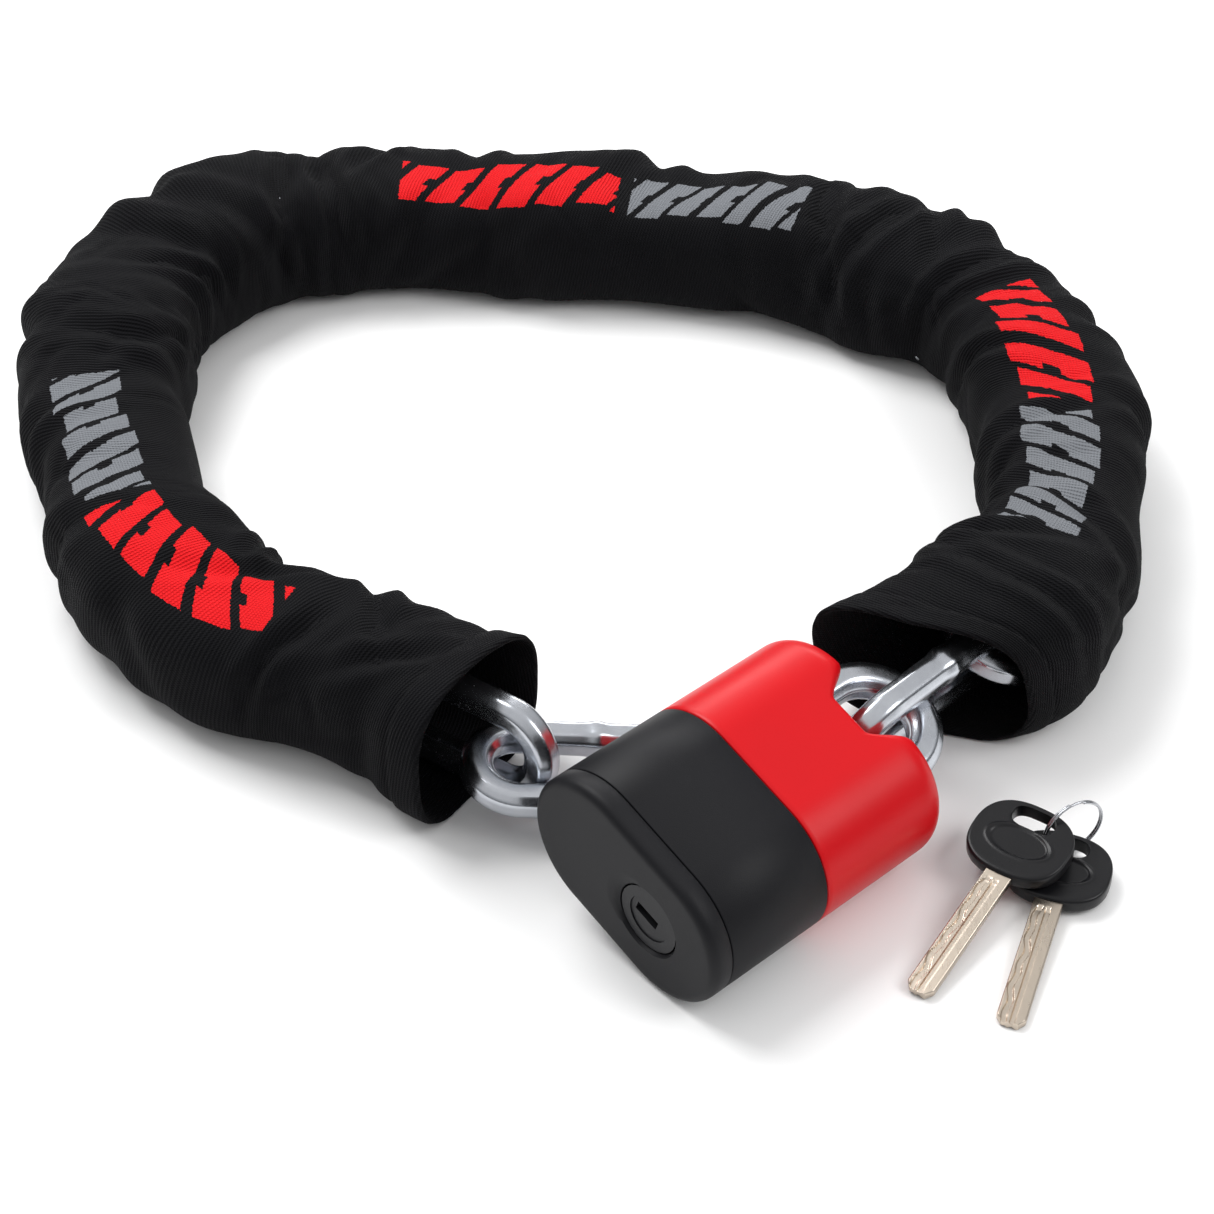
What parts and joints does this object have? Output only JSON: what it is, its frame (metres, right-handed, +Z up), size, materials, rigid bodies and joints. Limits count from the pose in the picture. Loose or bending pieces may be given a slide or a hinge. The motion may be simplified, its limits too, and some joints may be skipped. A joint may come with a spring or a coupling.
{
  "type": "chain lock",
  "caption": "Chain lock: long-link steel chain in a black woven sleeve, closed by a padlock with a red hood, with keys on a split ring.",
  "frame": {"origin": "middle of the part's footprint, on the floor it lies on", "axes": "+Z up from the floor, +X across the loop from the left mouth of the sleeve to the right one, +Y away from the padlock to the back of the loop"},
  "size_m": [0.3926, 0.4188, 0.0575],
  "materials": {
    "zinc_steel": "zinc plated, bright",
    "steel": "machined",
    "brass": "machined",
    "nickel_brass": "nickel plated, milled",
    "woven_nylon": "woven fabric",
    "black_plastic": "satin",
    "red_plastic": "satin"
  },
  "bodies": {
    "right_chain": {"sleeve_right": "woven_nylon", "link_10": "zinc_steel", "link_11": "zinc_steel", "link_12": "zinc_steel", "link_13": "zinc_steel", "link_14": "zinc_steel", "link_15": "zinc_steel"},
    "left_chain": {"sleeve_left": "woven_nylon", "link_03": "zinc_steel", "link_04": "zinc_steel", "link_05": "zinc_steel", "link_06": "zinc_steel", "link_07": "zinc_steel", "link_08": "zinc_steel", "link_09": "zinc_steel"},
    "left_link": {"link_02": "zinc_steel"},
    "last_link": {"link_01": "zinc_steel"},
    "right_link": {"link_16": "zinc_steel"},
    "lock_body": {"end_cap": "black_plastic", "black_cover": "black_plastic", "red_hood": "red_plastic", "lock_core": "steel", "cylinder_housing": "brass", "cap_screw_1": "steel", "cap_screw_2": "steel", "driver_pin_1": "steel", "pin_spring_1": "steel", "driver_pin_2": "steel", "pin_spring_2": "steel", "driver_pin_3": "steel", "pin_spring_3": "steel", "driver_pin_4": "steel", "pin_spring_4": "steel", "driver_pin_5": "steel", "pin_spring_5": "steel"},
    "shackle": {"shackle": "zinc_steel"},
    "plug": {"key_plug": "brass", "plug_tail": "steel", "key_pin_1": "brass", "key_pin_2": "brass", "key_pin_3": "brass", "key_pin_4": "brass", "key_pin_5": "brass"},
    "toe_bolt": {"toe_bolt": "steel"},
    "heel_bolt": {"heel_bolt": "steel"},
    "ring": {"key_ring": "zinc_steel"},
    "key_1": {"key_1_bow": "black_plastic", "key_1_blade": "nickel_brass"},
    "key_2": {"key_2_bow": "black_plastic", "key_2_blade": "nickel_brass"}
  },
  "joints": [
    {"name": "loop_flex", "type": "hinge", "parent": "right_chain", "child": "left_chain", "pos_m": [-0.00988, 0.18004, 0.023], "axis": [0, 0, -1], "range_deg": [0, 18]},
    {"name": "left_link_swing", "type": "hinge", "parent": "left_chain", "child": "left_link", "pos_m": [-0.07048, -0.07796, 0.02216], "axis": [0, 0, 1], "range_deg": [0, 8]},
    {"name": "last_link_swing", "type": "hinge", "parent": "left_link", "child": "last_link", "pos_m": [-0.0068, -0.11932, 0.01884], "axis": [0, 0, 1], "range_deg": [0, 8]},
    {"name": "right_link_lift", "type": "hinge", "parent": "right_chain", "child": "right_link", "pos_m": [0.13667, -0.06806, 0.0268], "axis": [-0.7313, 0.682, 0], "range_deg": [0, 6]},
    {"name": "lock_swing", "type": "hinge", "parent": "right_link", "child": "lock_body", "pos_m": [0.1047, -0.10265, 0.02875], "axis": [-0.6388, 0.6971, 0.3256], "range_deg": [0, 12]},
    {"name": "shackle_pull", "type": "slide", "parent": "lock_body", "child": "shackle", "axis": [0.7373, 0.6756, 0], "range_m": [0, 0.018]},
    {"name": "plug_turn", "type": "hinge", "parent": "lock_body", "child": "plug", "pos_m": [0.03848, -0.17692, 0.0253], "axis": [-0.7373, -0.6756, 0], "range_deg": [0, 90]},
    {"name": "toe_bolt_throw", "type": "slide", "parent": "lock_body", "child": "toe_bolt", "axis": [0.6388, -0.6971, -0.3256], "range_m": [0, 0.004]},
    {"name": "heel_bolt_throw", "type": "slide", "parent": "lock_body", "child": "heel_bolt", "axis": [-0.6388, 0.6971, 0.3256], "range_m": [0, 0.004]},
    {"name": "key_ring_lift", "type": "slide", "parent": "right_chain", "child": "ring", "axis": [0, 0, 1], "range_m": [0, 0.03]},
    {"name": "key_1_turn", "type": "hinge", "parent": "ring", "child": "key_1", "pos_m": [0.14298, -0.14248, 0.013], "axis": [0, 0, -1], "range_deg": [0, 12]},
    {"name": "key_2_turn", "type": "hinge", "parent": "ring", "child": "key_2", "pos_m": [0.14506, -0.14151, 0.005], "axis": [0, 0, 1], "range_deg": [0, 12]}
  ],
  "couplings": [
    {"joint": "plug_turn", "follows": "toe_bolt_throw", "rad_per_m": 392.7},
    {"joint": "heel_bolt_throw", "follows": "toe_bolt_throw", "ratio": 1}
  ]
}
